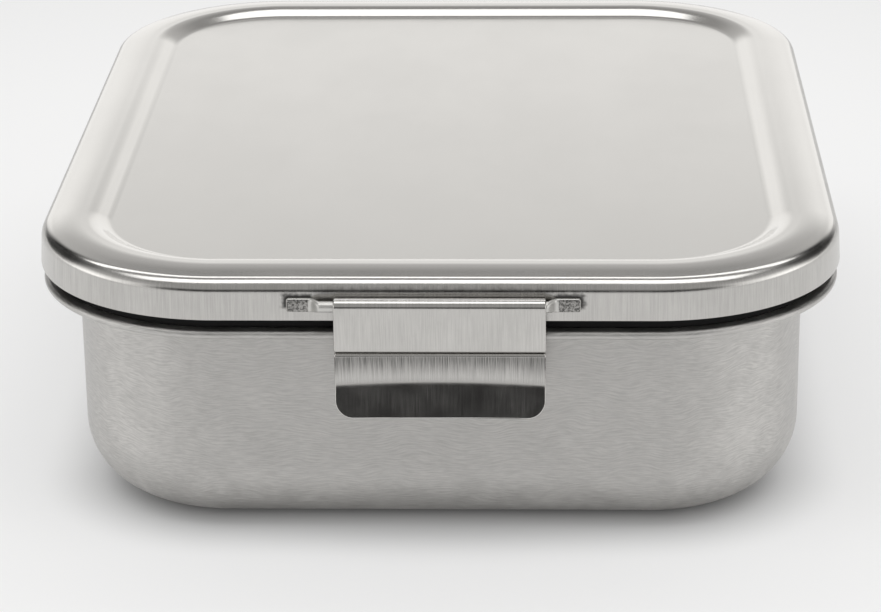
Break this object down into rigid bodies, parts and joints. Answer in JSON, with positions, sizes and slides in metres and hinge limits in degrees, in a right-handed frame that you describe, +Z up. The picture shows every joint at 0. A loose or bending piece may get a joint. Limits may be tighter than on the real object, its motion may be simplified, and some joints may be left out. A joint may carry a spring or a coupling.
{
  "type": "lunch box",
  "caption": "Rectangular steel lunch box: a deep-drawn tray and a lift-off lid with a rubber seal, held shut by a hinged wire-and-plate clip at each short end.",
  "frame": {"origin": "middle of the tray's flat bottom, on the surface that it stands on", "axes": "+Z up, -Y towards the front clip, +X to the right seen from the front"},
  "size_m": [0.165, 0.2122, 0.0587],
  "materials": {
    "tray_steel": "fine wavy brushing, satin",
    "lid_steel": "satin panel, brighter polished border",
    "seal_rubber": "matt black silicone",
    "bar_steel": "bright wire with flattened welded ends",
    "clip_steel": "upright brushing"
  },
  "bodies": {
    "tray": {"tray": "tray_steel"},
    "lid": {"lid_shell": "lid_steel", "lid_seal": "seal_rubber", "front_hinge_bar": "bar_steel", "rear_hinge_bar": "bar_steel"},
    "front_clip": {"front_clip": "clip_steel"},
    "rear_clip": {"rear_clip": "clip_steel"}
  },
  "joints": [
    {"name": "lid_lift", "type": "slide", "parent": "tray", "child": "lid", "axis": [0, 0, 1], "range_m": [0, 0.07]},
    {"name": "front_clip_hinge", "type": "hinge", "parent": "lid", "child": "front_clip", "pos_m": [0, -0.1032, 0.0535], "axis": [-1, 0, 0], "range_deg": [0, 150]},
    {"name": "rear_clip_hinge", "type": "hinge", "parent": "lid", "child": "rear_clip", "pos_m": [0, 0.1032, 0.0535], "axis": [1, 0, 0], "range_deg": [0, 150]}
  ]
}
